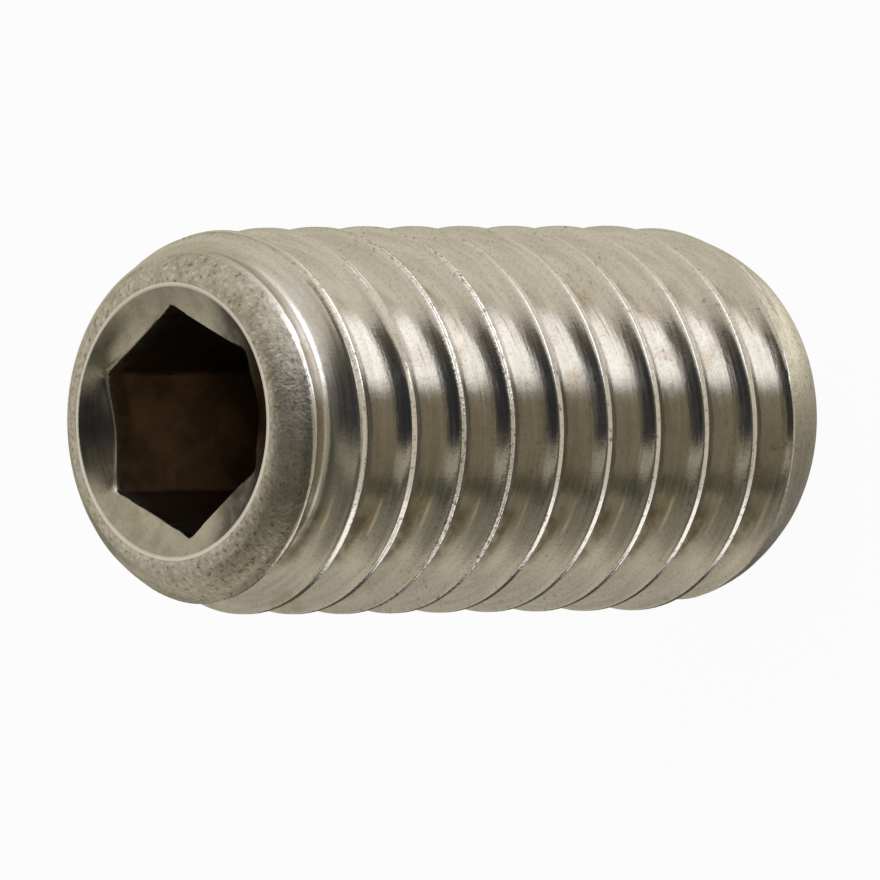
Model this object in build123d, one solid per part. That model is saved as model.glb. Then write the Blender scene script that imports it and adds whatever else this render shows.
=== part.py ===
from build123d import *
import math
import os

# Hex socket set screw with a flat point, standing on its point.
# The origin is the centre of the point's face, and +Z runs up the axis, out of the socket.
# All lengths are in millimetres and all angles in degrees.

# Right-hand metric thread, whose groove crosses the +X side at the height of the point's face
thread_diameter = 4.0
thread_pitch = 0.7
flank_angle = 60.0
crest_share = 1 / 8
root_share = 1 / 6

# Overall length, from the point's face to the rim round the socket
screw_length = 8.0

# Socket for a hex key, with one of its corners turned this far past +X
key_width = 2.0
key_clearance = 0.06
socket_depth = 2.5
socket_floor_angle = 120.0
socket_turn = 7.2

# Socket end: a narrow rim between the socket's coned mouth and the round shoulder outside it
rim_diameter = 2.85
rim_width = 0.04
mouth_angle = 120.0
head_shoulder_height = 1.16

# Point end: a flat face, a cone and a round shoulder up to the thread
point_diameter = 2.5
point_cone_angle = 114.0
point_shoulder_radius = 1.5

# How far a cut runs past the surface it leaves, and how much of an edge a fillet may use up
cut_overrun = 0.5
fillet_limit_share = 0.95

thread_radius = thread_diameter / 2
rim_radius = rim_diameter / 2
point_radius = point_diameter / 2


def cone_rise(radius_change, full_angle):
    """Height over which a cone of this full angle changes its radius."""
    return radius_change / math.tan(math.radians(full_angle / 2))


def shoulder_limit(cone_width, full_angle):
    """Largest radius that rounds a cone of this width into the cylinder it meets."""
    half_angle = math.radians(full_angle / 2)
    slant = cone_width / math.sin(half_angle)
    return fillet_limit_share * slant / math.tan(half_angle / 2)


def make_blank():
    """Body before threading: a cylinder with an elliptical shoulder below the rim and a coned point."""
    point_width = thread_radius - point_radius
    point_corner = (thread_radius, cone_rise(point_width, point_cone_angle))
    shoulder_foot = screw_length - head_shoulder_height
    shoulder = EllipticalCenterArc(
        (rim_radius, shoulder_foot),
        thread_radius - rim_radius,
        head_shoulder_height,
    )
    rest_of_outline = Polyline(
        (rim_radius, screw_length),
        (0, screw_length),
        (0, 0),
        (point_radius, 0),
        point_corner,
        (thread_radius, shoulder_foot),
    )
    section = make_face(Plane.XZ * (shoulder + rest_of_outline))
    point_edge = section.vertices().sort_by_distance((point_corner[0], 0, point_corner[1]))[0]
    point_round = min(point_shoulder_radius, shoulder_limit(point_width, point_cone_angle))
    return revolve(fillet(point_edge, point_round), Axis.Z)


def make_groove_turns():
    """Cutters for the thread's groove, one for each turn, from below the point to past the rim."""
    crest_width = crest_share * thread_pitch
    root_half = root_share * thread_pitch / 2
    flank_run = (thread_pitch - crest_width) / 2 - root_half
    root_radius = thread_radius - cone_rise(flank_run, flank_angle)
    # The flanks run on outside the crests until the mouths of two turns are half a crest apart
    mouth_radius = thread_radius + cone_rise(crest_width / 4, flank_angle)
    mouth_half = thread_pitch / 2 - crest_width / 4
    outline = Polyline(
        (root_radius, -root_half),
        (mouth_radius, -mouth_half),
        (mouth_radius, mouth_half),
        (root_radius, root_half),
        close=True,
    )
    section = make_face(Plane.XZ * outline)
    turn = sweep(section, path=Helix(thread_pitch, thread_pitch, thread_radius), is_frenet=True)
    turns_to_rim = math.ceil(screw_length / thread_pitch)
    return [Pos(0, 0, thread_pitch * number) * turn for number in range(-1, turns_to_rim + 1)]


def make_socket():
    """Space inside the socket: a hex with a coned floor, opening through a coned mouth."""
    across_flats = key_width + key_clearance
    corner_radius = across_flats / math.sqrt(3)
    top = screw_length + cut_overrun

    def cone_on_tip(tip, full_angle):
        """Cone standing on its tip, from there to above the screw."""
        top_radius = (top - tip) / cone_rise(1, full_angle)
        upright = (Align.CENTER, Align.CENTER, Align.MIN)
        return Pos(0, 0, tip) * Cone(0, top_radius, top - tip, align=upright)

    floor_tip = screw_length - socket_depth - cone_rise(corner_radius, socket_floor_angle)
    mouth_tip = screw_length - cone_rise(rim_radius - rim_width, mouth_angle)
    hexagon = RegularPolygon(across_flats / 2, 6, major_radius=False, rotation=socket_turn)
    prism = extrude(Pos(0, 0, floor_tip) * hexagon, top - floor_tip)
    key_space = prism & cone_on_tip(floor_tip, socket_floor_angle)
    return key_space + cone_on_tip(mouth_tip, mouth_angle)


set_screw = make_blank() - make_groove_turns() - make_socket()

os.makedirs("parts", exist_ok=True)
export_step(set_screw, "parts/set_screw.step")
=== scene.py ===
# %% [markdown]
# # A hex socket set screw
# The real object is one short piece of stainless steel. A thread is rolled over its whole length,
# a hex socket is punched into one end, and the other end is a flat point.
# It stands on its point, so +Z runs up the axis and out of the socket.
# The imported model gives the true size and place. This lesson dresses it: a finer surface,
# a worn metal finish, soft studio light and a camera.

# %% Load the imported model
import math
import bpy
import numpy as np
from mathutils import Matrix, Vector, noise


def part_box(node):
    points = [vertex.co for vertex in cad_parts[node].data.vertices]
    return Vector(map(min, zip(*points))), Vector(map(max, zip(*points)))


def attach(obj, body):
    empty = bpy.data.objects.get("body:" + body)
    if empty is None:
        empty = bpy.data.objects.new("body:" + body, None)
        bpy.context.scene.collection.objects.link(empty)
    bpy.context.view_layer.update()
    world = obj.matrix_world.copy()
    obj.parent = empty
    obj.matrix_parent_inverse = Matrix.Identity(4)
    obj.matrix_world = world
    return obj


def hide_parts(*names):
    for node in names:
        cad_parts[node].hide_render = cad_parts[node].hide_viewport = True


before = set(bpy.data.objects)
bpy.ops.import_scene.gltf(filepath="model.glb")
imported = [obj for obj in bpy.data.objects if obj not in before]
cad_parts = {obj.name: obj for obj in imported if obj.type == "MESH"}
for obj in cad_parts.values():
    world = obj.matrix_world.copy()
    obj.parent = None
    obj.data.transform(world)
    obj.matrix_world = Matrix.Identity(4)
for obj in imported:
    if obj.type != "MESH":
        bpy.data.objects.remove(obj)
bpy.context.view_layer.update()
screw_low, screw_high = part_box("set_screw")
print("The packed screw runs from", tuple(screw_low), "to", tuple(screw_high))

# %% [markdown]
# ## Sizes
# The overall length and the thread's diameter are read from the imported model, so the dressed screw
# always has its size. The other lengths are those of the thread and the socket, in metres.
# Writing them once, with names, means that every later step agrees on where things are.

# %% Sizes of the screw
MM = 0.001
screw_length = screw_high.z - screw_low.z
thread_radius = (screw_high.x - screw_low.x) / 2

thread_pitch = 0.7 * MM
crest_share = 0.1
thread_depth = 0.429 * MM
flank_half_angle = math.radians(30)

rim_radius = 1.425 * MM
rim_width = 0.04 * MM
mouth_half_angle = math.radians(60)
head_shoulder_height = 1.16 * MM

flat_to_axis = 1.03 * MM
socket_depth = 2.5 * MM
socket_floor_half_angle = math.radians(60)
socket_turn = math.radians(7.2)

point_radius = 1.25 * MM
point_half_angle = math.radians(57)
point_shoulder_radius = 1.5 * MM

crest_half = crest_share * thread_pitch / 2
root_half = thread_pitch / 2 - crest_half - thread_depth * math.tan(flank_half_angle)
root_radius = thread_radius - thread_depth
print(f"Thread depth {thread_depth / MM:.3f} mm, root radius {root_radius / MM:.3f} mm")

# %% [markdown]
# ## The blank
# Before it is threaded, the screw is a turned blank: a cylinder with a round shoulder below the rim
# and a coned point with another round shoulder. It could be an outline spun by a Screw modifier.
# But the thread has to know how thick the blank is at each height, so the outline is written
# as a function of height. It takes whole arrays, which keeps the mesh quick to make.

# %% Radius of the blank at a height
def head_shoulder(height):
    """Quarter ellipse from the cylinder up to the rim."""
    rise = np.clip((height - screw_length + head_shoulder_height) / head_shoulder_height, 0, 1)
    return rim_radius + (thread_radius - rim_radius) * np.sqrt(1 - rise**2)


def point_shoulder(height):
    """Cone of the point, rounded into the cylinder."""
    cone_rise = (thread_radius - point_radius) / math.tan(point_half_angle)
    tangent = point_shoulder_radius * math.tan(point_half_angle / 2)
    arc_top = cone_rise + tangent
    arc_foot = cone_rise - tangent * math.cos(point_half_angle)
    below_top = np.clip(arc_top - height, 0, point_shoulder_radius)
    arc = thread_radius - point_shoulder_radius + np.sqrt(point_shoulder_radius**2 - below_top**2)
    cone = point_radius + height * math.tan(point_half_angle)
    return np.where(height < arc_foot, cone, arc)


def blank_radius(height):
    """Radius of the blank, at both ends and between them."""
    return np.minimum(head_shoulder(height), point_shoulder(height))


print(f"The blank is {2 * float(blank_radius(screw_length / 2)) / MM:.3f} mm across at its middle")

# %% [markdown]
# ## Where the thread ends
# The groove can only cut where the blank is thicker than the groove's root. That leaves two circles,
# one on each shoulder, which the thread can't pass. The upper one follows from the ellipse.
# The lower one lies on a cone or on an arc, so the easy way is to look along many heights for it.

# %% Circles that bound the thread
def shoulder_height(radius):
    """Height of the round shoulder below the rim, at a radius."""
    across = (radius - rim_radius) / (thread_radius - rim_radius)
    return screw_length - head_shoulder_height * (1 - math.sqrt(1 - across**2))


height_samples = 4001
shoulder_top = shoulder_height(root_radius)
heights = np.linspace(0, screw_length / 2, height_samples)
shoulder_foot = float(heights[np.argmax(blank_radius(heights) >= root_radius)])
print(f"The groove shows from {shoulder_foot / MM:.3f} to {shoulder_top / MM:.3f} mm")

# %% [markdown]
# ## The thread
# A metric thread is a groove with flanks 60 degrees apart that climbs one pitch for each turn.
# A Screw modifier could spin a profile, but it leaves hard, open ends. Here each point of a grid asks
# how far it is from the middle of the groove, which gives the groove's radius there. The screw's surface
# is the smaller of that radius and the blank's, so the groove runs out over both shoulders
# as a rolled thread does. A smooth minimum rounds the edges a little, as rolling and tumbling do.

# %% Radius of the groove
edge_rounding = 0.024 * MM
root_rounding = 0.12 * MM
flank_hollow = 0.1


def smooth_min(first, second, width):
    """Smaller of two lengths, with the corner between them rounded over a width."""
    overlap = np.maximum(width - np.abs(first - second), 0) / width
    return np.minimum(first, second) - overlap**2 * width / 4


def groove_radius(height, angle):
    """Radius of the groove's flanks, slightly hollow, and its round root."""
    turns = height / thread_pitch - angle / (2 * math.pi)
    from_middle = np.abs(turns - np.round(turns)) * thread_pitch
    share = (from_middle - root_half) * math.tan(math.pi / 2 - flank_half_angle) / thread_depth
    flank = root_radius + thread_depth * (share + flank_hollow * share * (share - 1))
    return -smooth_min(-flank, np.full_like(flank, -root_radius), root_rounding)


def from_crest(height, angle):
    """Distance along the axis from the middle of the nearest crest."""
    turns = height / thread_pitch - angle / (2 * math.pi) - 0.5
    return np.abs(turns - np.round(turns)) * thread_pitch


print(f"The root is {2 * root_half / MM:.3f} mm wide and the crest {2 * crest_half / MM:.3f} mm")

# %% [markdown]
# ## Rows that follow the helix
# If the rows of the grid climb with the thread, every crest and root lies along a row,
# and its edge stays crisp. After one turn a row meets the row one pitch above it, so the last column is
# joined to the first with that offset. Rows that would pass a shoulder's circle are gathered onto it.

# %% Rows of one pitch
columns = 120
root_rows = 4
flank_rows = 13
crest_rows = 6
angles = socket_turn + 2 * math.pi * np.arange(columns) / columns
half_pitch = thread_pitch / 2
flank_top = half_pitch - crest_half
half_rows = np.concatenate(
    [
        np.linspace(0, root_half, root_rows, endpoint=False),
        np.linspace(root_half, flank_top, flank_rows, endpoint=False),
        np.linspace(flank_top, half_pitch, crest_rows, endpoint=False),
    ]
)
pitch_rows = np.concatenate([half_rows, [half_pitch], thread_pitch - half_rows[:0:-1]])
rows_per_pitch = len(pitch_rows)
print(f"{rows_per_pitch} rows to a pitch and {columns} columns to a turn")

# %% Grid of the threaded surface
first_pitch = -2
last_pitch = math.ceil(screw_length / thread_pitch) + 1
pitches = range(first_pitch, last_pitch)
row_heights = np.concatenate([pitch * thread_pitch + pitch_rows for pitch in pitches])
grid_height = row_heights[:, None] + thread_pitch * angles[None, :] / (2 * math.pi)
grid_angle = np.broadcast_to(angles, grid_height.shape)

# A point within a quarter of a row of a circle is gathered onto it
snap = thread_pitch / rows_per_pitch / 4
below = grid_height < shoulder_foot + snap
above = grid_height > shoulder_top - snap
between = ~(below | above)
thread_heights = grid_height[between]
thread_angles = grid_angle[between]
print(f"{between.sum()} points on the thread")

# %% [markdown]
# ## Wear on the crests
# Rolling folds the metal up from both flanks, and where the two folds meet, the crest keeps a fine seam.
# The crests near the socket are a little lower, and some have nicks. A bump in the material could hint
# at this, but light catches an edge, so it is real shape: noise lowers the crests' radius.

# %% Crests with their seam, wear and nicks
seam_depth = 0.009 * MM
seam_width = 0.013 * MM
seam_height = 5.4 * MM
seam_reach = 0.75 * MM
seam_noise_scale = 0.9 / MM
crest_wear = 0.005 * MM
wear_noise_scale = 0.35 / MM
end_wear = 0.02 * MM
nick_depth = 0.02 * MM
nick_level = 0.35
nick_noise_scale = 5.0 / MM


def perlin(points, scale, seed):
    """Smooth noise between -1 and 1 at each of some points."""
    shift = Vector((seed, 2 * seed, 3 * seed))
    return np.array([noise.noise(Vector(point) * scale + shift) for point in points])


around = np.stack(
    [np.cos(thread_angles) * thread_radius, np.sin(thread_angles) * thread_radius, thread_heights], 1
)
seam_noise = perlin(around, seam_noise_scale, 3)
nick_noise = perlin(around, nick_noise_scale, 7)
wear_noise = perlin(around, wear_noise_scale, 11)
seam_share = np.exp(-(((thread_heights - seam_height) / seam_reach) ** 2))
seam_share = seam_share + np.clip(seam_noise * 2 - 0.2, 0, 0.5)
crest_distance = from_crest(thread_heights, thread_angles)
seam = np.exp(-((crest_distance / seam_width) ** 2)) * seam_share
near_end = np.clip((thread_heights - seam_height) / (2 * seam_reach), 0, 1)
crest_radius = thread_radius - crest_wear * np.clip(wear_noise + 0.5, 0, 1)
crest_radius = crest_radius - end_wear * near_end
crest_radius = crest_radius - nick_depth * np.clip(nick_noise - nick_level, 0, 1)
print(f"Crests are worn down to {crest_radius.min() / MM:.3f} mm")

# %% [markdown]
# ## How the groove fades out
# At its ends this thread isn't pressed to its full depth. Over the point the last turn of the groove
# is all but gone, and below the socket the first turn comes in slowly. Cutting the groove off
# at a height would leave a step. Instead its depth may not pass a limit that grows with the distance
# from the end, and the same smooth minimum rounds the change. Above the point the blank is also worn.

# %% Blank and groove, worn and faded
point_wear = 0.028 * MM
point_wear_height = 0.9 * MM
point_wear_reach = 0.3 * MM
last_groove_foot = 0.8 * MM
last_groove_slope = 1.5
first_groove_top = 7.85 * MM
first_groove_slope = 0.8
first_groove_rounding = 0.4 * MM

blank = blank_radius(thread_heights)
blank = blank - point_wear * np.exp(-(((thread_heights - point_wear_height) / point_wear_reach) ** 2))
full_groove = groove_radius(thread_heights, thread_angles)
point_depth = last_groove_slope * np.maximum(thread_heights - last_groove_foot, 0)
head_depth = first_groove_slope * np.maximum(first_groove_top - thread_heights, 0)
groove = -smooth_min(-full_groove, point_depth - blank, root_rounding)
groove = -smooth_min(-groove, head_depth - blank, first_groove_rounding)
print(f"The groove is deepest at a radius of {groove.min() / MM:.3f} mm")

# %% [markdown]
# ## The threaded surface
# The surface is the smallest of the groove, the crests and the blank. Rolling also pushes up a thin burr
# where the groove meets the shoulder of the socket end, which shows as one bright line. It is added last,
# and nothing may stand outside the thread's own radius.

# %% Radius of each point of the thread
burr_height = 0.005 * MM
burr_width = 0.04 * MM
burr_start = 7.1 * MM
burr_fade = 0.2 * MM
burr_end_fade = 0.1 * MM

seamed_crest = crest_radius - seam * seam_depth
radius = smooth_min(smooth_min(groove, seamed_crest, edge_rounding), blank, edge_rounding)
on_edge = np.exp(-(((full_groove - blank) / burr_width) ** 2))
on_edge = on_edge * np.clip((thread_heights - burr_start) / burr_fade, 0, 1)
on_edge = on_edge * np.clip((blank - root_radius) / burr_end_fade, 0, 1)
radius = np.minimum(radius + burr_height * on_edge, thread_radius)
print(f"Radius runs from {radius.min() / MM:.3f} to {radius.max() / MM:.3f} mm")

# %% [markdown]
# ## One closed skin
# The rest of the screw is rings of the same columns: up over the rim, down the coned mouth,
# down the six walls of the socket to its coned floor, and at the other end round the point to its face.
# Separate meshes would be simpler, but their seams would show. As one skin, the shading runs over
# every edge. Each point also carries numbers that say what it is part of, for the finish to use later.

# %% Collect points and faces
ZONES = ("crest", "shoulder", "rim", "mouth", "socket", "dirt")
points = []
zones = {name: [] for name in ZONES}
faces = []


def add_points(radii, point_heights, point_angles, **zone_values):
    """Add points given in polar form, and return their numbers."""
    first = sum(len(block) for block in points)
    count = len(point_angles)
    radii = np.broadcast_to(radii, count)
    point_heights = np.broadcast_to(point_heights, count)
    points.append(np.stack([radii * np.cos(point_angles), radii * np.sin(point_angles), point_heights], 1))
    for name in ZONES:
        zones[name].append(np.broadcast_to(zone_values.get(name, 0.0), count).astype(float))
    return np.arange(first, first + count)


def add_face(corners):
    """Add a face, without the corners that fall on their neighbours."""
    kept = [corner for place, corner in enumerate(corners) if corner != corners[place - 1]]
    if len(kept) > 2:
        faces.append(kept)


def join_rings(lower, upper):
    """Faces between two rings, looking outwards when the first is below the second."""
    for column in range(columns):
        after = (column + 1) % columns
        add_face([lower[column], lower[after], upper[after], upper[column]])


def ring_after(ring, radii, ring_heights, **zone_values):
    """Add a ring that goes on from the last one, towards the socket, and return it."""
    next_ring = add_points(radii, ring_heights, angles, **zone_values)
    join_rings(ring, next_ring)
    return next_ring


def ring_before(ring, radii, ring_heights, **zone_values):
    """Add a ring that goes on from the last one, towards the point, and return it."""
    next_ring = add_points(radii, ring_heights, angles, **zone_values)
    join_rings(next_ring, ring)
    return next_ring


print("Zones:", ", ".join(ZONES))

# %% [markdown]
# ## Zones of the thread
# On the real screw the crests are bright from handling, and the shoulder is as rough as it was sheared.
# A band of painted shade lies along the shoulder's lower edge, where it meets the groove. The zones are
# found from the groove before it was faded, so that the shoulder's edge stays where the thread would cut
# it. The point has a finish half-way between a shoulder and a flank.

# %% Crests, shoulder, point and dirt
crest_zone_reach = 1.6
crest_zone_share = 0.97
shoulder_fade_share = 0.3
point_finish = 0.55
point_fade = 0.2 * MM
dirt_offset = 0.1 * MM
dirt_reach = 0.16 * MM

crest_zone = np.clip(crest_zone_reach - crest_distance / crest_half, 0, 1)
crest_zone = crest_zone * (radius > thread_radius * crest_zone_share)
on_blank = np.clip((full_groove - blank) / edge_rounding + 0.5, 0, 1)
shoulder_start = screw_length - head_shoulder_height
shoulder_fade = shoulder_fade_share * head_shoulder_height
is_shoulder = on_blank * (thread_heights > screw_length / 2)
is_shoulder = is_shoulder * np.clip((thread_heights - shoulder_start) / shoulder_fade, 0, 1)
point_top = point_wear_height + point_wear_reach
is_point = on_blank * np.clip((point_top - thread_heights) / point_wear_reach, 0, 1)
is_point = np.maximum(is_point, np.clip((point_wear_height - thread_heights) / point_fade, 0, 1))
# Painted shade: a band just inside the shoulder's lower edge, where a hollow beside the burr lies in shade
edge_dirt = is_shoulder * np.exp(-(((full_groove - blank - dirt_offset) / dirt_reach) ** 2))
is_shoulder = np.maximum(is_shoulder, is_point * point_finish)
crest_zone = crest_zone * (1 - is_point)
print(f"{(crest_zone > 0.5).sum()} points on crests, {(is_shoulder > 0.5).sum()} on the shoulders")

# %% Faces of the thread
foot_ring = add_points(root_radius, shoulder_foot, angles, shoulder=point_finish)
top_ring = add_points(root_radius, shoulder_top, angles, shoulder=1.0)
grid_numbers = np.zeros(grid_height.shape, int)
grid_numbers[below] = np.broadcast_to(foot_ring, grid_height.shape)[below]
grid_numbers[above] = np.broadcast_to(top_ring, grid_height.shape)[above]
grid_numbers[between] = add_points(
    radius,
    thread_heights,
    thread_angles,
    crest=crest_zone,
    shoulder=is_shoulder * (1 - crest_zone),
    dirt=edge_dirt,
)
for row in range(len(row_heights) - rows_per_pitch - 1):
    for column in range(columns):
        turned = row + rows_per_pitch if column == columns - 1 else row
        after = (column + 1) % columns
        low_pair = [grid_numbers[row, column], grid_numbers[turned, after]]
        high_pair = [grid_numbers[turned + 1, after], grid_numbers[row + 1, column]]
        add_face(low_pair + high_pair)
print(f"{len(faces)} faces on the thread")

# %% [markdown]
# ## The hexagon
# The socket is punched with a hexagonal tool. Boolean cuts could make it, but they leave long thin faces
# that shade badly. In polar form a hexagon is one formula: the nearest of six walls in each direction.
# A column starts at each corner, so the corners are sharp. A perfect cone would meet the flats in arcs.
# On this screw the edge is nearly straight along four flats and lower along the other two,
# and its corners are slightly chipped.

# %% Hexagon and the height of its edge
corner_sharpness = 60
lip_size = 0.012 * MM
chip_size = 0.016 * MM
chip_reach = math.radians(3.5)
corner_sink = 0.035 * MM
flat_lift = 0.085 * MM
# Share of the lift that two flats lack, by their direction in degrees from the first corner
low_flat_shares = {90: 0.65, 270: 1.3}
low_flat_reach = math.radians(25)

wall_sides = socket_turn + math.radians(30) + math.radians(60) * np.arange(6)
wall_facing = np.maximum(np.cos(angles[:, None] - wall_sides[None, :]), 0)
hexagon = flat_to_axis / (wall_facing**corner_sharpness).sum(1) ** (1 / corner_sharpness)
corner_radius = 2 * flat_to_axis / math.sqrt(3)
to_corner = (hexagon - flat_to_axis) / (corner_radius - flat_to_axis)
sink = corner_sink * to_corner
lift = flat_lift * (1 - to_corner)
for side, share in low_flat_shares.items():
    from_flat = angles - socket_turn - math.radians(side)
    lift = lift * (1 - share * np.exp(-((from_flat / low_flat_reach) ** 2)))
from_corner = np.abs((angles - socket_turn + math.pi / 6) % (math.pi / 3) - math.pi / 6)
at_corner = np.exp(-((from_corner / chip_reach) ** 2))
lip = lip_size + chip_size * at_corner
print(f"The hexagon is {2 * hexagon.min() / MM:.3f} mm across its flats")

# %% [markdown]
# ## Shoulder and rim
# Above the thread the shoulder is plain, and it ends at a narrow bright rim. These are rings
# on the ellipse, each a share of the way from the thread to the rim. They lie closer near the rim,
# so that the shading turns quickly there and the rim reads as an edge.

# %% Rings of the shoulder and the rim
shoulder_shares = (0.12, 0.25, 0.38, 0.5, 0.62, 0.75, 0.88, 0.97, 1.0)

ring = top_ring
for share in shoulder_shares:
    ring_radius = root_radius + (rim_radius - root_radius) * share
    ring_height = shoulder_height(ring_radius)
    ring = ring_after(ring, ring_radius, ring_height, shoulder=share < 1, rim=share == 1)
print(f"The rim lies at {ring_height / MM:.3f} mm, {2 * ring_radius / MM:.3f} mm across")

# %% [markdown]
# ## Mouth
# A countersink leaves a smooth cone that guides the key in. Its rings go from the rim to the hexagon
# and change from round to six-sided on the way. The last three rings are a tiny rounded lip.
# Without it the edge would be perfectly sharp, and no light could catch on it.

# %% Rings of the mouth and its lip
mouth_radius = rim_radius - rim_width
mouth_shares = (0.0, 0.02, 0.1, 0.25, 0.45, 0.65, 0.82, 0.93)
lip_fall = 1.1
lip_rings = ((0.0, 1.0), (0.35, 0.45), (lip_fall, 0.0))
lip_sink_share = 0.7


def mouth_height(radii):
    """Height of the coned mouth at a radius."""
    return screw_length - (mouth_radius - radii) / math.tan(mouth_half_angle)


for share in mouth_shares:
    ring_radius = mouth_radius + (hexagon + lip - mouth_radius) * share
    ring_height = mouth_height(ring_radius) + lift * share**2
    ring = ring_after(ring, ring_radius, ring_height, mouth=0.5 + 0.5 * (share > 0), rim=0.5 * (share == 0))
for drop, inset in lip_rings:
    ring_radius = hexagon + lip * inset
    ring_height = mouth_height(ring_radius) + lift - sink * (1 - lip_sink_share * inset) - drop * lip
    chip = 0.5 * at_corner * (inset > 0)
    ring = ring_after(ring, ring_radius, ring_height, mouth=1.0 - drop / lip_fall, rim=chip)
print(f"The mouth's edge lies between {ring_height.min() / MM:.3f} and {ring_height.max() / MM:.3f} mm")

# %% [markdown]
# ## Socket
# The walls go straight down to the cone that the punch's tip leaves. Little light gets in, but from above
# the floor shows, so it is modelled and not just painted black. The cone's last ring closes on one point.

# %% Walls and floor of the socket
wall_rings = 12
floor_shares = (0.15, 0.35, 0.55, 0.75, 0.9)
floor_tip = screw_length - socket_depth - corner_radius / math.tan(socket_floor_half_angle)


def floor_height(radii):
    """Height of the socket's coned floor at a radius."""
    return floor_tip + radii / math.tan(socket_floor_half_angle)


wall_top = mouth_height(hexagon) + lift - sink - lip_fall * lip
for share in np.linspace(0, 1, wall_rings + 1)[1:]:
    ring_height = wall_top + (floor_height(hexagon) - wall_top) * share
    ring = ring_after(ring, hexagon, ring_height, socket=1.0)
for share in floor_shares:
    ring_radius = hexagon * (1 - share)
    ring = ring_after(ring, ring_radius, floor_height(ring_radius), socket=1.0)
pole = add_points(0.0, floor_tip, angles[:1], socket=1.0)
for column in range(columns):
    faces.append([ring[column], ring[(column + 1) % columns], pole[0]])
print(f"The socket's floor has its tip at {floor_tip / MM:.3f} mm")

# %% [markdown]
# ## Point
# The point is the end that presses on a shaft: a cone with a flat face. Its rings start
# at the thread's lower circle and follow the blank down to the floor, then run inwards over the face.
# A single large face would do for a flat, but rings keep its shading smooth up to the edge.

# %% Cone and face of the point
point_rings = 12
face_shares = (0.97, 0.85, 0.65, 0.4, 0.15)

ring = foot_ring
for share in np.linspace(0, 1, point_rings + 1)[1:]:
    ring_height = shoulder_foot * (1 - share)
    ring = ring_before(ring, blank_radius(ring_height), ring_height, shoulder=point_finish)
for share in face_shares:
    ring = ring_before(ring, point_radius * share, 0.0, shoulder=point_finish)
pole = add_points(0.0, 0.0, angles[:1], shoulder=point_finish)
for column in range(columns):
    faces.append([ring[(column + 1) % columns], ring[column], pole[0]])
print(f"{len(faces)} faces on the whole screw")

# %% [markdown]
# ## Mesh
# The points and faces become one Blender mesh, and each zone becomes an attribute on its points.
# A material can read such an attribute by name. Smooth shading hides the grid, and edges
# that turn sharply, such as the hexagon's, are marked so that they stay crisp.

# %% Make the mesh
sharp_angle = math.radians(38)

mesh = bpy.data.meshes.new("screw_body")
face_corners = [[int(corner) for corner in face] for face in faces]
mesh.from_pydata(np.concatenate(points).tolist(), [], face_corners)
for name in ZONES:
    layer = mesh.attributes.new(name, "FLOAT", "POINT")
    layer.data.foreach_set("value", np.concatenate(zones[name]).astype(np.float32))
mesh.shade_smooth()
mesh.set_sharp_from_angle(angle=sharp_angle)
screw_body = bpy.data.objects.new("screw_body", mesh)
bpy.context.scene.collection.objects.link(screw_body)
triangles = sum(len(face) - 2 for face in faces)
print(f"screw_body has {len(mesh.vertices)} points and {triangles} triangles")

# %% [markdown]
# ## Sums for shaders
# A finish is a network of nodes. Written node by node it is hard to read, so a small class wraps a socket
# and lets Python's own operators add the Math nodes. Its node method adds any other node.
# Colours have methods of their own, because a Math node would turn them grey.

# %% A socket that can be used in sums
class Wire:
    """One output of a node, or just a node tree to start from."""

    def __init__(self, tree, socket=None):
        self.tree = tree
        self.socket = socket

    def node(self, kind, settings=None, inputs=None, output=0):
        """Add a node, set it up, feed its sockets and return one of its outputs."""
        made = self.tree.nodes.new(kind)
        for name, value in (settings or {}).items():
            if name == "stops":
                for place, (position, stop_colour) in enumerate(value):
                    ramp = made.color_ramp.elements
                    stop = ramp[place] if place < 2 else ramp.new(position)
                    stop.position = position
                    stop.color = stop_colour
            else:
                setattr(made, name, value)
        for name, value in (inputs or {}).items():
            if isinstance(value, Wire):
                self.tree.links.new(value.socket, made.inputs[name])
            else:
                made.inputs[name].default_value = value
        return Wire(self.tree, made.outputs[output] if made.outputs else None)

    def axes(self):
        """The three parts of a vector."""
        parts = self.node("ShaderNodeSeparateXYZ", inputs={0: self}).socket.node.outputs
        return [Wire(self.tree, parts[axis]) for axis in "XYZ"]

    def math(self, operation, *values):
        """Result of a Math node."""
        return self.node("ShaderNodeMath", {"operation": operation}, dict(enumerate(values)))

    def __add__(self, other):
        return self.math("ADD", self, other)

    def __radd__(self, other):
        return self.math("ADD", other, self)

    def __sub__(self, other):
        return self.math("SUBTRACT", self, other)

    def __rsub__(self, other):
        return self.math("SUBTRACT", other, self)

    def __mul__(self, other):
        return self.math("MULTIPLY", self, other)

    def __rmul__(self, other):
        return self.math("MULTIPLY", other, self)

    def __truediv__(self, other):
        return self.math("DIVIDE", self, other)

    def __rtruediv__(self, other):
        return self.math("DIVIDE", other, self)

    def __pow__(self, other):
        return self.math("POWER", self, other)

    def step(self, low, high):
        """Smooth step from 0 at low to 1 at high."""
        ranges = {"Value": self, "From Min": low, "From Max": high}
        return self.node("ShaderNodeMapRange", {"interpolation_type": "SMOOTHSTEP"}, ranges)

    def near(self, middle, reach, none=1.0, full=0.0):
        """Smooth band: 1 at a middle and 0 beyond a reach to either side of it."""
        return (((self - middle) / reach) ** 2).step(none, full)

    def add_colour(self, other):
        """Sum of two colours."""
        settings = {"data_type": "RGBA", "blend_type": "ADD"}
        return self.node("ShaderNodeMix", settings, {0: 1.0, 6: self, 7: other}, 2)

    def blend(self, first, second):
        """Colour that goes from the first to the second as this value goes from 0 to 1."""
        return self.node("ShaderNodeMix", {"data_type": "RGBA"}, {0: self, 6: first, 7: second}, 2)


def colour(red, green, blue):
    """Opaque colour, as a node's socket takes it."""
    return (red, green, blue, 1.0)


print("A wire takes + - * / and **, and has step, near, blend and add_colour")
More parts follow.
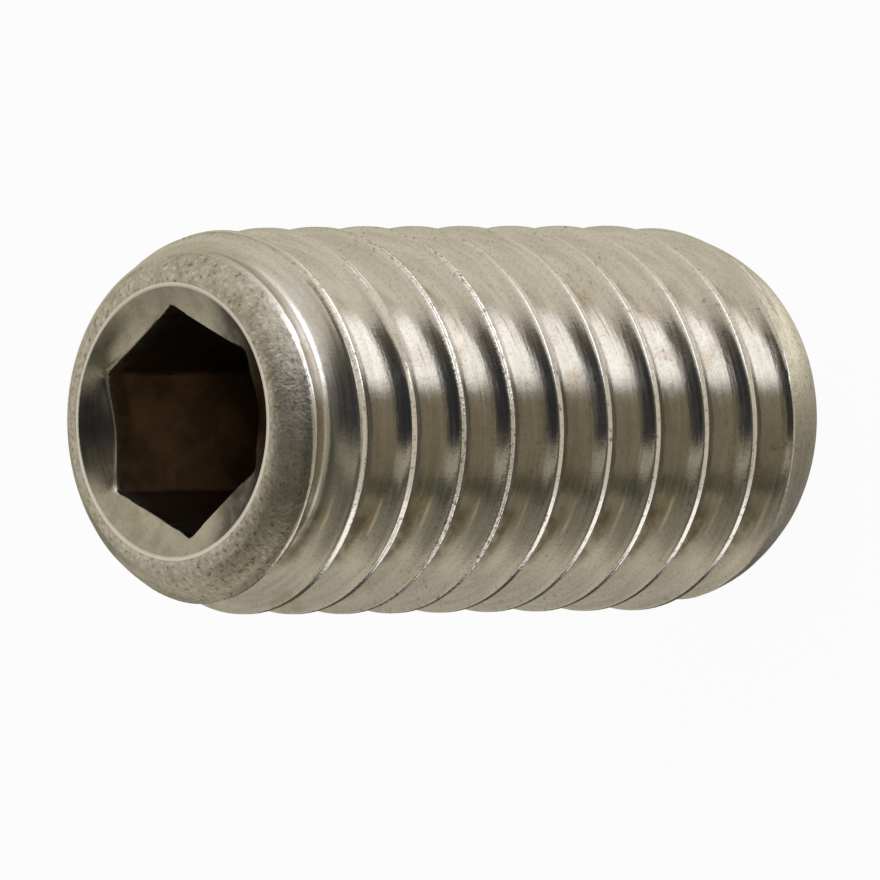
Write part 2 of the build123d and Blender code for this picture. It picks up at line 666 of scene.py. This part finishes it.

# %% [markdown]
# ## Stainless steel
# Bare steel has almost no colour of its own: it shows the room, tinted a little warm. What tells one part
# of this screw from another is how the steel was worked. The rolling dies leave streaks along the groove,
# the sheared end is pitted, the mouth is smooth from its drill, and the punched socket is dull.
# Its colour is painted shade, nearly black, with a painted brown reflection on two walls.
# by the numbers on the mesh lets them run into each other.

# %% Start the steel
steel = bpy.data.materials.new("stainless_steel")
steel.use_nodes = True
steel.node_tree.nodes.clear()
steel_start = Wire(steel.node_tree)
place = steel_start.node("ShaderNodeTexCoord", output="Object")
to_millimetres = {0: place, "Scale": 1 / MM}
millimetres = steel_start.node("ShaderNodeVectorMath", {"operation": "SCALE"}, to_millimetres)
x_place, y_place, z_place = millimetres.axes()
from_axis = (x_place * x_place + y_place * y_place) ** 0.5
crest, shoulder, rim, mouth, socket, dirt = (
    steel_start.node("ShaderNodeAttribute", {"attribute_name": name}, output="Fac") for name in ZONES
)
flank = steel_start.math("MAXIMUM", 1 - crest - shoulder - rim - mouth - socket, 0)
print("The steel is steered by", ZONES)

# %% [markdown]
# ## Grain
# Noise with three coordinates gives specks and clouds. A fourth coordinate that grows quickly
# with the distance from the axis turns it into streaks that follow the thread, because that distance
# is the same all along a flank. An image could show this too, but noise has no seams or pixels.

# %% Noise for the grain
def grain(per_millimetre, detail, streaks_per_millimetre=0, seed=0):
    """Noise between 0 and 1, drawn out along the thread if it has streaks."""
    fourth = from_axis * (streaks_per_millimetre / per_millimetre) + seed
    return steel_start.node(
        "ShaderNodeTexNoise",
        {"noise_dimensions": "4D"},
        {"Vector": millimetres, "W": fourth, "Scale": per_millimetre, "Detail": detail},
    )


patches = grain(2.6, 3, seed=9)
mottle = grain(6, 3, seed=7)
speckle = grain(19, 3, seed=2)
dust = grain(34, 2, seed=6)
wide_streaks = grain(1.1, 2, streaks_per_millimetre=16, seed=1)
fine_streaks = grain(1.8, 3, streaks_per_millimetre=48, seed=3)
patchy = patches.step(0.4, 0.6)
pits = speckle.step(0.56, 0.7)
painted_glints = speckle.step(0.46, 0.32)
dusty = dust.step(0.5, 0.66)
print("Grain: patches, mottle, specks, dust and two widths of streaks")

# %% [markdown]
# ## Colour of the flanks
# Every zone mixes a clean steel with a duller one, by its own grain. The flanks also hold what use
# has left: a brown tarnish deep in the groove and a few yellow stains. Painted shade lies along the root on
# one side, and a thin painted highlight runs along one radius. Each mark is a mask that blends one colour
# in.

# %% Steel, streaks and pits on the flanks
clean_steel = colour(0.61, 0.572, 0.5)
dull_steel = colour(0.51, 0.475, 0.405)
bright_steel = colour(0.67, 0.635, 0.575)
pit_and_shade_steel = colour(0.2, 0.175, 0.13)
brown_film = colour(0.43, 0.33, 0.215)
deep_radii = (1.86, 1.72)

streaks = (wide_streaks * 0.6 + fine_streaks * 0.4).step(0.36, 0.62)
film_in_groove = patches.step(0.5, 0.68) * from_axis.step(*deep_radii)
pits_on_flank = pits * patches.step(0.45, 0.65) * 0.5 + dusty * 0.22
flank_colour = streaks.blend(dull_steel, clean_steel)
flank_colour = (film_in_groove * 0.45).blend(flank_colour, brown_film)
flank_colour = pits_on_flank.blend(flank_colour, pit_and_shade_steel)
print("Film lies deeper than a radius of", deep_radii[0], "mm")

# %% Stains, dirt and rub marks on the flanks
# Each pair is where a mark starts and where it is full, in millimetres
stain_colour = colour(0.4, 0.37, 0.2)
stain_side = (-1.35, -1.65)
stain_heights = (5.2, 6.2)
root_dirt_radii = (1.8, 1.68)
root_dirt_top = (-0.75, -1.0)
root_dirt_bottom = (-1.6, -1.35)
painted_highlight_colour = colour(1.0, 0.9, 0.62)
highlight_radius = 1.79
highlight_half_width = 0.02
highlight_top = (-0.72, -0.84)
highlight_bottom = (-1.22, -1.02)

stained = patches.step(0.5, 0.62) * x_place.step(*stain_side) * z_place.step(*stain_heights)
# Painted shade: the steel near the root is darkened on the side that is down in the picture
root_dirt = from_axis.step(*root_dirt_radii) * x_place.step(*root_dirt_top)
root_dirt = root_dirt * x_place.step(*root_dirt_bottom)
# Painted highlight: a thin bright line along one radius, standing in for a reflection in the root's curve
painted_highlight_line = from_axis.near(highlight_radius, highlight_half_width) * x_place.step(*highlight_top) * x_place.step(*highlight_bottom)
flank_colour = (stained * 0.5).blend(flank_colour, stain_colour)
flank_colour = (root_dirt * (0.45 + mottle.step(0.35, 0.6) * 0.45)).blend(flank_colour, pit_and_shade_steel)
flank_colour = (painted_highlight_line * (0.3 + patchy * 0.5)).blend(flank_colour, painted_highlight_colour)
print("A rub mark runs along a radius of", highlight_radius, "mm")

# %% [markdown]
# ## Colour of the crests and the shoulder
# The crests are the brightest steel, and where the seam is widest they are broken up by pits.
# The shoulder was sheared and never rolled, so it is mottled, with pits and small painted glints.
# It is painted lighter on the side that is down in the picture, and painted shade lies along its lower edge
# on the camera's side.

# %% Crests and shoulder
shoulder_steel = colour(0.52, 0.48, 0.395)
shoulder_dark = colour(0.3, 0.275, 0.215)
painted_light_side = (-0.9, -1.4)
dirt_front = (-0.2, -0.8)
dirt_side = (0.9, 0.3)

broken = z_place.near(seam_height / MM, seam_reach / MM, none=1.6, full=0.3)
crest_pits = pits * (0.7 + broken * 0.3) + dusty * (0.2 + broken * 0.35)
crest_colour = crest_pits.blend(bright_steel, pit_and_shade_steel)
# Painted light: bright glints in the specks, and the side that is down in the picture painted lighter
shoulder_painted_light = painted_glints * 0.7 + x_place.step(*painted_light_side) * 0.35
# Painted shade along the shoulder's lower edge, on the camera's side only
shoulder_dirt = dirt * y_place.step(*dirt_front) * x_place.step(*dirt_side)
shoulder_pits_and_shade = pits * 0.8 + dusty * 0.25 + shoulder_dirt * 0.65
shoulder_colour = (mottle.step(0.35, 0.7) * 0.6).blend(shoulder_steel, shoulder_dark)
shoulder_colour = shoulder_painted_light.blend(shoulder_colour, bright_steel)
shoulder_colour = shoulder_pits_and_shade.blend(shoulder_colour, pit_and_shade_steel)
print(f"Crests are broken near {seam_height / MM:.1f} mm")

# %% [markdown]
# ## Colour of the socket
# The mouth is a darker, smoother steel, with painted shade on one side of it. Inside, the steel is painted
# nearly black as shade, and a painted brown reflection lies on two opposite walls. Those walls are found by
# how far a point lies across the pair of flats, which is easier than giving each wall its own material.

# %% Mouth, socket and rim
mouth_steel = colour(0.38, 0.35, 0.28)
mouth_dull = colour(0.28, 0.25, 0.185)
mouth_painted_shade = colour(0.05, 0.045, 0.035)
socket_painted_reflection = colour(1.0, 0.7, 0.4)
# Painted shade: the steel inside the socket is painted nearly black
socket_painted_shade = colour(0.2, 0.175, 0.16)
shaded_side = (-0.35, -0.85)
reflecting_wall_reach = (0.96, 1.01)
reflection_heights = (5.2, 7.4)
reflection_side = math.radians(90) + socket_turn

mouth_colour = (mottle.step(0.4, 0.65) * 0.6 + dusty * 0.4).blend(mouth_steel, mouth_dull)
# Painted shade: the mouth is darkened towards the camera's side
mouth_shade_share = y_place.step(*shaded_side) * (0.8 + mottle.step(0.4, 0.6) * 0.2)
mouth_colour = mouth_shade_share.blend(mouth_colour, mouth_painted_shade)
# Painted reflection: a brown reflection painted on two opposite walls of the socket
across_flats = x_place * math.cos(reflection_side) + y_place * math.sin(reflection_side)
reflecting_wall = steel_start.math("ABSOLUTE", across_flats).step(*reflecting_wall_reach)
wall_reflection = reflecting_wall * z_place.step(*reflection_heights) * (0.5 + patchy * 0.5)
socket_colour = wall_reflection.blend(socket_painted_shade, socket_painted_reflection)
rim_colour = (pits * 0.6).blend(bright_steel, dull_steel)
print("The film lies on the walls at", round(math.degrees(reflection_side), 1), "degrees and opposite")

# %% Join the zones' colours
steel_colour = crest.blend(flank_colour, crest_colour)
steel_colour = shoulder.blend(steel_colour, shoulder_colour)
steel_colour = mouth.blend(steel_colour, mouth_colour)
steel_colour = socket.blend(steel_colour, socket_colour)
steel_colour = rim.blend(steel_colour, rim_colour)
print("Colour nodes so far:", len(steel.node_tree.nodes))

# %% [markdown]
# ## Roughness and relief
# The same grain feeds the colour, the roughness and the bump, so that a pit is dark, dull and low
# at the same place, as it is on metal. The flanks are the smoothest, as the dies left them,
# and a fine mark of the dies runs along them. The bump is a few micrometres deep: larger forms are mesh.

# %% Roughness
first_turn_heights = (7.1, 7.4)

roughness = 0.125 + fine_streaks.step(0.35, 0.7) * 0.05 + patches.step(0.45, 0.7) * 0.06
roughness = roughness + crest * (0.06 + pits * 0.2)
roughness = roughness + shoulder * (0.22 + speckle.step(0.35, 0.7) * 0.12)
roughness = roughness + mouth * (0.02 + dust * 0.05) + socket * 0.2
roughness = roughness + flank * z_place.step(*first_turn_heights) * 0.13
print("The first turn of the groove is duller above", first_turn_heights[0], "mm")

# %% Relief and shader
die_mark_radius = 1.715
die_mark_half_width = 0.03
relief_depth = 0.006 * MM

die_mark = from_axis.near(die_mark_radius, die_mark_half_width) * patchy
relief = flank * (fine_streaks * 0.08 + wide_streaks * 0.2 + dust * 0.09 + die_mark * 0.16)
relief = relief + crest * (speckle * 0.4 + dust * (0.25 + broken))
relief = relief + shoulder * (speckle * 1.2 + dust * 0.7 + mottle * 0.9)
relief = relief + mouth * dust * 0.08 + rim * speckle * 0.4
bump_inputs = {"Strength": 1.0, "Distance": relief_depth, "Height": relief}
bump = steel_start.node("ShaderNodeBump", inputs=bump_inputs)
shader = steel_start.node(
    "ShaderNodeBsdfPrincipled",
    inputs={"Base Color": steel_colour, "Metallic": 1.0, "Roughness": roughness, "Normal": bump},
)
steel_start.node("ShaderNodeOutputMaterial", inputs={"Surface": shader})
mesh.materials.append(steel)
print("stainless_steel has", len(steel.node_tree.nodes), "nodes")

# %% [markdown]
# ## Floor
# A small part is often shown on white paper. If the paper were only lit, it would need so much light
# to look white that the screw would be washed out. So for the camera it glows at a strength of 1,
# which is white, and a small share of it is still lit, to keep the screw's shadow.
# The steel doesn't mirror this sheet: the light tent below the horizon stands for it, and can be graded.

# %% White paper
floor_size = 400 * MM
glow_share = 0.95
paper_colour = colour(0.9, 0.9, 0.9)

half = floor_size / 2
floor_corners = [(-half, -half, 0), (half, -half, 0), (half, half, 0), (-half, half, 0)]
floor_mesh = bpy.data.meshes.new("floor")
floor_mesh.from_pydata(floor_corners, [], [(0, 1, 2, 3)])
floor = bpy.data.objects.new("floor", floor_mesh)
floor.visible_glossy = False
bpy.context.scene.collection.objects.link(floor)
paper = bpy.data.materials.new("white_paper")
paper.use_nodes = True
paper.node_tree.nodes.clear()
paper_start = Wire(paper.node_tree)
seen = paper_start.node("ShaderNodeLightPath", output="Is Camera Ray")
seen = seen + paper_start.node("ShaderNodeLightPath", output="Is Glossy Ray")
seen = seen + paper_start.node("ShaderNodeLightPath", output="Is Transmission Ray")
lit = paper_start.node("ShaderNodeBsdfDiffuse", inputs={"Color": paper_colour})
glow = paper_start.node("ShaderNodeEmission", inputs={"Color": colour(1, 1, 1), "Strength": 1.0})
mixed = paper_start.node("ShaderNodeMixShader", inputs={0: seen * glow_share, 1: lit, 2: glow})
paper_start.node("ShaderNodeOutputMaterial", inputs={"Surface": mixed})
floor_mesh.materials.append(paper)
print(f"The paper is {floor_size / MM:.0f} mm wide")

# %% [markdown]
# ## Light tent
# Polished metal shows its surroundings, so its light is the room itself. A photographer builds a tent
# of white sheets with a few dark cards, and the dark bands on the flanks are those cards.
# Lamps and real cards could do this, but they would stand in the way of other views. Here the world
# is the tent: a colour for every direction, written as ramps over the angle round the screw
# or over one side's share, and blended from the horizon upwards.

# %% Directions and ramps
FULL = 4.0
COOL = (0.97, 1.06, 1.34)
WARM = (1.02, 0.965, 0.8)
CREAM = (1.01, 0.97, 0.87)
GREENISH = (0.95, 1.04, 0.75)

world = bpy.data.worlds.new("studio")
bpy.context.scene.world = world
world.use_nodes = True
world.node_tree.nodes.clear()
world_start = Wire(world.node_tree)
to_x, to_y, to_z = world_start.node("ShaderNodeTexCoord", output="Generated").axes()
azimuth = world_start.math("ARCTAN2", to_x, 0 - to_y) / (2 * math.pi) + 0.5
side_share = to_x / 2 + 0.5


def grey(level, red=1.0, green=1.0, blue=1.0):
    """Light of a level, with a tint. A ramp ends at 1, so levels are shares of the full strength."""
    return colour(level * red / FULL, level * green / FULL, level * blue / FULL)


def by_angle(*stops):
    """Ramp over the angle round the screw: 0 degrees is the camera's side, and 90 is +X."""
    places = [(degrees / 360 + 0.5, level) for degrees, level in stops]
    return azimuth.node("ShaderNodeValToRGB", {"stops": places}, {0: azimuth})


def by_side(*stops):
    """Ramp over a direction's share of X, from -1 to 1."""
    places = [(side / 2 + 0.5, level) for side, level in stops]
    return side_share.node("ShaderNodeValToRGB", {"stops": places}, {0: side_share})


print("The tent's strongest level is", FULL)

# %% [markdown]
# ## Light round the horizon
# What shows deep in the groove has bounced off two flanks, and it comes in near the horizon.
# So does what the foot of the shoulder mirrors. On the side that is up in the picture, a bright window
# gives the flanks their white highlights. Further down they show warm sheets, with one narrow
# greenish band.

# %% Horizon and window
window_start = 14
window_end = 74

low_light = by_angle(
    (-180, grey(0.5, *WARM)),
    (-110, grey(0.62, *WARM)),
    (-78, grey(0.68, *WARM)),
    (-66, grey(0.58, *WARM)),
    (-54, grey(0.52, *WARM)),
    (-51, grey(0.18, *GREENISH)),
    (-41, grey(0.18, *GREENISH)),
    (-37, grey(0.42, *WARM)),
    (14, grey(0.46, *WARM)),
    (20, grey(0.7)),
    (62, grey(0.95)),
    (74, grey(1.4)),
    (95, grey(1.15)),
    (108, grey(0.72, *WARM)),
    (180, grey(0.7, *WARM)),
)
key_light = by_angle(
    (window_start, grey(0)),
    (25, grey(2.4, *COOL)),
    (60, grey(2.4, *COOL)),
    (window_end, grey(0)),
)
print("The window reaches from", window_start, "to", window_end, "degrees")

# %% [markdown]
# ## Light from the sides and from above
# Higher up, the shoulder mirrors the sides of the tent, where a dark card stands on the camera's side.
# The same ring serves two heights, with a lighter card at the upper one. The outer part of each flank
# and the far side of the mouth mirror the top of the tent. It is dark over the middle, which gives
# the dark bands beside the crests and the dark patch in the mouth. The back of the tent is bright.

# %% Sides, top and back
card_start = -68
card_end = 19


def card_light(lower_edge, middle, upper_edge):
    """Sheets round a dark card on the camera's side, with three levels of grey across the card."""
    return by_angle(
        (-180, grey(0.5, *WARM)),
        (-125, grey(0.82, *WARM)),
        (-95, grey(0.58, *WARM)),
        (card_start, grey(lower_edge, *WARM)),
        (-37, grey(middle, *WARM)),
        (card_end, grey(upper_edge, *WARM)),
        (33, grey(1.0)),
        (72, grey(1.05)),
        (100, grey(0.9, *CREAM)),
        (180, grey(0.7, *CREAM)),
    )


side_light = card_light(0.12, 0.08, 0.09)
front_light = card_light(0.16, 0.12, 0.14)
near_light = by_side(
    (-1, grey(0.7, *WARM)),
    (-0.75, grey(0.42, *WARM)),
    (-0.66, grey(0.31, *WARM)),
    (-0.55, grey(0.26, *WARM)),
    (-0.49, grey(0.22, *WARM)),
    (-0.475, grey(0.08, *GREENISH)),
    (-0.385, grey(0.08, *GREENISH)),
    (-0.36, grey(0.5, *WARM)),
    (-0.26, grey(0.5, *WARM)),
    (-0.22, grey(0.03, *COOL)),
    (0.14, grey(0.035, *COOL)),
    (0.28, grey(0.085, *WARM)),
    (0.375, grey(0.13, *WARM)),
    (0.395, grey(0.72, *CREAM)),
    (0.5, grey(0.9, *CREAM)),
    (1, grey(0.85, *CREAM)),
)
far_light = by_side(
    (-1, grey(0.52, *CREAM)),
    (-0.6, grey(0.55, *CREAM)),
    (-0.1, grey(0.85, *CREAM)),
    (0.2, grey(0.97, *CREAM)),
    (0.6, grey(0.85, *CREAM)),
    (1, grey(0.8, *CREAM)),
)
print("The dark card reaches from", card_start, "to", card_end, "degrees")

# %% [markdown]
# ## Light from the paper
# The crests and the point's round shoulder look down at the paper. It is dim on the side that is down
# in the picture, and next to that a bright stretch makes the crests flash. Straight below, the light
# is graded once more, because the point's shoulder mirrors only that small part.

# %% Paper below
paper_light = by_angle(
    (-180, grey(0.3, *WARM)),
    (-140, grey(0.08, *WARM)),
    (-97, grey(0.06, *WARM)),
    (-92, grey(1.5)),
    (-50, grey(1.5)),
    (-44, grey(0.72, *WARM)),
    (50, grey(0.72, *WARM)),
    (60, grey(0.95, *WARM)),
    (90, grey(0.95, *WARM)),
    (104, grey(0.7, *WARM)),
    (180, grey(0.65, *WARM)),
)
steep_light = by_side(
    (-0.4, grey(0.18, *WARM)),
    (-0.15, grey(0.3, *WARM)),
    (0, grey(0.4, *WARM)),
    (0.12, grey(0.62, *WARM)),
    (0.27, grey(1.5, *CREAM)),
)
print("The tent has", len(world.node_tree.nodes), "nodes before it is joined")

# %% [markdown]
# ## Join the tent
# The sheets are blended by height, and by how far a direction points to the back. Only mirrored rays
# see the paper's part of the tent, and the camera sees plain white at a strength of 1.

# %% Blend the sheets of the tent
back_start = (0.2, 0.5)
horizon_top = (0.08, 0.2)
front_foot = (0.36, 0.48)
top_foot = (0.66, 0.8)
paper_top = (-0.36, -0.5)
steep_top = (-0.8, -0.92)

to_back = to_y.step(*back_start)
over_light = to_back.blend(near_light, far_light)
middle = to_z.step(*front_foot).blend(side_light, front_light)
middle = to_back.blend(middle, far_light)
upper = to_z.step(*horizon_top).blend(key_light.add_colour(low_light), middle)
upper = to_z.step(*top_foot).blend(upper, over_light)
camera_ray = world_start.node("ShaderNodeLightPath", output="Is Camera Ray")
mirrored = world_start.node("ShaderNodeLightPath", output="Is Glossy Ray")
passed = world_start.node("ShaderNodeLightPath", output="Is Transmission Ray")
under = to_z.step(*paper_top) * (mirrored + passed)
under_light = to_z.step(*steep_top).blend(paper_light, steep_light)
tent = under.blend(upper, under_light)
shown = camera_ray.blend(tent, grey(1.0))
background = world_start.node("ShaderNodeBackground", inputs={"Color": shown, "Strength": FULL})
world_start.node("ShaderNodeOutputWorld", inputs={"Surface": background})
print("The studio has", len(world.node_tree.nodes), "nodes")

# %% [markdown]
# ## Camera
# The picture shows the screw lying on its side, seen from its socket end. The screw stands upright here,
# so the camera looks down at it and is rolled until +X points up in the picture.
# It stands far away with a long lens, as small parts are photographed, which keeps parallel lines parallel.
# The angles, the frame's width and its place on the axis set the view.

# %% Camera
camera_azimuth = math.radians(1.12)
camera_elevation = math.radians(44.38)
camera_roll = math.radians(0.29)
frame_width = 9.064 * MM
camera_distance = 333 * MM
aim_height = 4.173 * MM
frame_drop = 0.2122 * MM
sensor_width = 36.0

to_camera = Vector(
    (
        math.sin(camera_azimuth) * math.cos(camera_elevation),
        -math.cos(camera_azimuth) * math.cos(camera_elevation),
        math.sin(camera_elevation),
    )
)
picture_up = Vector((1, 0, 0))
picture_up = (picture_up - to_camera * picture_up.dot(to_camera)).normalized()
picture_up = Matrix.Rotation(camera_roll, 3, to_camera) @ picture_up
picture_right = picture_up.cross(to_camera)
aim = Vector((0, 0, aim_height)) - picture_up * frame_drop
camera_data = bpy.data.cameras.new("camera")
camera_data.sensor_width = sensor_width
camera_data.lens = sensor_width * camera_distance / frame_width
camera_data.clip_start = camera_distance / 10
camera_data.clip_end = camera_distance * 3
camera = bpy.data.objects.new("camera", camera_data)
turn = Matrix((picture_right, picture_up, to_camera)).transposed().to_4x4()
camera.matrix_world = Matrix.Translation(aim + to_camera * camera_distance) @ turn
bpy.context.scene.collection.objects.link(camera)
bpy.context.scene.camera = camera
bpy.context.scene.view_settings.view_transform = "Standard"
print(f"The lens is {camera_data.lens:.0f} mm long")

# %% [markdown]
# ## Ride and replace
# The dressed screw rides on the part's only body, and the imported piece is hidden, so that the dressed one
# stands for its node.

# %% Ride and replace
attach(screw_body, "root")
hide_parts("set_screw")
